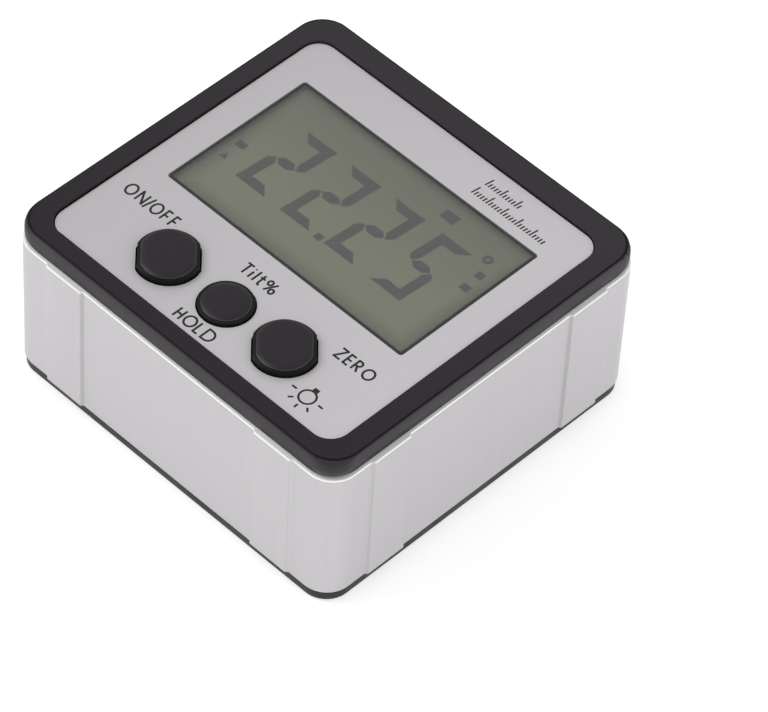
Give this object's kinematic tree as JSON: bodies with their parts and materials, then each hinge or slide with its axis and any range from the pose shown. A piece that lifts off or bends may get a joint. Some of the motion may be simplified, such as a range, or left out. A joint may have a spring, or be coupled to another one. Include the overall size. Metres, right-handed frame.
{
  "type": "digital inclinometer",
  "caption": "Digital angle box: metal side frame between a black bezel and back cover, with a display and press buttons on a silver face plate and a screwed battery door in the back.",
  "frame": {"origin": "middle of the back face, which is the face the box lies on", "axes": "+X to the right of the display, +Y up the display, +Z out of the face"},
  "size_m": [0.06, 0.0578, 0.0282],
  "materials": {
    "black_shell": "fine moulded texture, satin",
    "face_silver": "flat silver paint",
    "frame_metal": "fine drawn lines, clear anodised",
    "clear_sheet": "clear, slight sheen",
    "lcd_front": "grey-green polariser",
    "lcd_rear": "grey-green polariser",
    "guide_white": "white diffuser",
    "lamp": "pale yellow resin",
    "striped_rubber": "thin black and pink layers",
    "holder_white": "moulded, satin",
    "tape": "double-sided foam tape",
    "button_rubber": "matte silicone rubber",
    "switch_plastic": "moulded, satin",
    "board_green": "solder mask over glass fibre",
    "chip_black": "moulded epoxy",
    "can_metal": "plated can",
    "part_brown": "ceramic chips",
    "screw_steel": "zinc plated",
    "magnet": "nickel plated",
    "foam": "soft foam",
    "cell_skin": "printed sleeve, plain",
    "contact_metal": "nickel plated spring strip",
    "wire_red": "wire insulation",
    "wire_black": "wire insulation"
  },
  "bodies": {
    "housing": {"front_bezel": "black_shell", "face_plate": "face_silver", "plate_tape": "tape", "display_window": "clear_sheet", "lcd_front_glass": "lcd_front", "lcd_rear_glass": "lcd_rear", "light_guide": "guide_white", "backlight_leds": "lamp", "lcd_connectors": "striped_rubber", "lcd_holder": "holder_white", "switch_bodies": "switch_plastic", "main_board": "board_green", "tilt_sensor": "chip_black", "microcontroller": "chip_black", "crystal": "can_metal", "board_passives": "part_brown", "board_screws": "screw_steel", "side_frame": "frame_metal", "side_magnets": "magnet", "back_cover": "black_shell", "case_screws": "screw_steel", "battery_cell_upper": "cell_skin", "battery_cell_lower": "cell_skin", "contact_link": "contact_metal", "contact_negative": "contact_metal", "contact_positive": "contact_metal", "wire_positive": "wire_red", "wire_negative": "wire_black"},
    "power_button": {"power_button": "button_rubber", "power_plunger": "switch_plastic"},
    "hold_button": {"hold_button": "button_rubber", "hold_plunger": "switch_plastic"},
    "zero_button": {"zero_button": "button_rubber", "zero_plunger": "switch_plastic"},
    "battery_door": {"battery_door": "black_shell", "door_foam": "foam"},
    "door_screw_upper": {"door_screw_upper": "screw_steel"},
    "door_screw_lower": {"door_screw_lower": "screw_steel"}
  },
  "joints": [
    {"name": "power_button_press", "type": "slide", "parent": "housing", "child": "power_button", "axis": [0, 0, -1], "range_m": [0, 0.0004], "stiffness_N_per_m": 600},
    {"name": "hold_button_press", "type": "slide", "parent": "housing", "child": "hold_button", "axis": [0, 0, -1], "range_m": [0, 0.0004], "stiffness_N_per_m": 600},
    {"name": "zero_button_press", "type": "slide", "parent": "housing", "child": "zero_button", "axis": [0, 0, -1], "range_m": [0, 0.0004], "stiffness_N_per_m": 600},
    {"name": "battery_door_lift", "type": "slide", "parent": "housing", "child": "battery_door", "axis": [0, 0, -1], "range_m": [0, 0.012]},
    {"name": "door_screw_upper_back_out", "type": "slide", "parent": "battery_door", "child": "door_screw_upper", "axis": [0, 0, -1], "range_m": [0, 0.0035]},
    {"name": "door_screw_lower_back_out", "type": "slide", "parent": "battery_door", "child": "door_screw_lower", "axis": [0, 0, -1], "range_m": [0, 0.0035]}
  ]
}
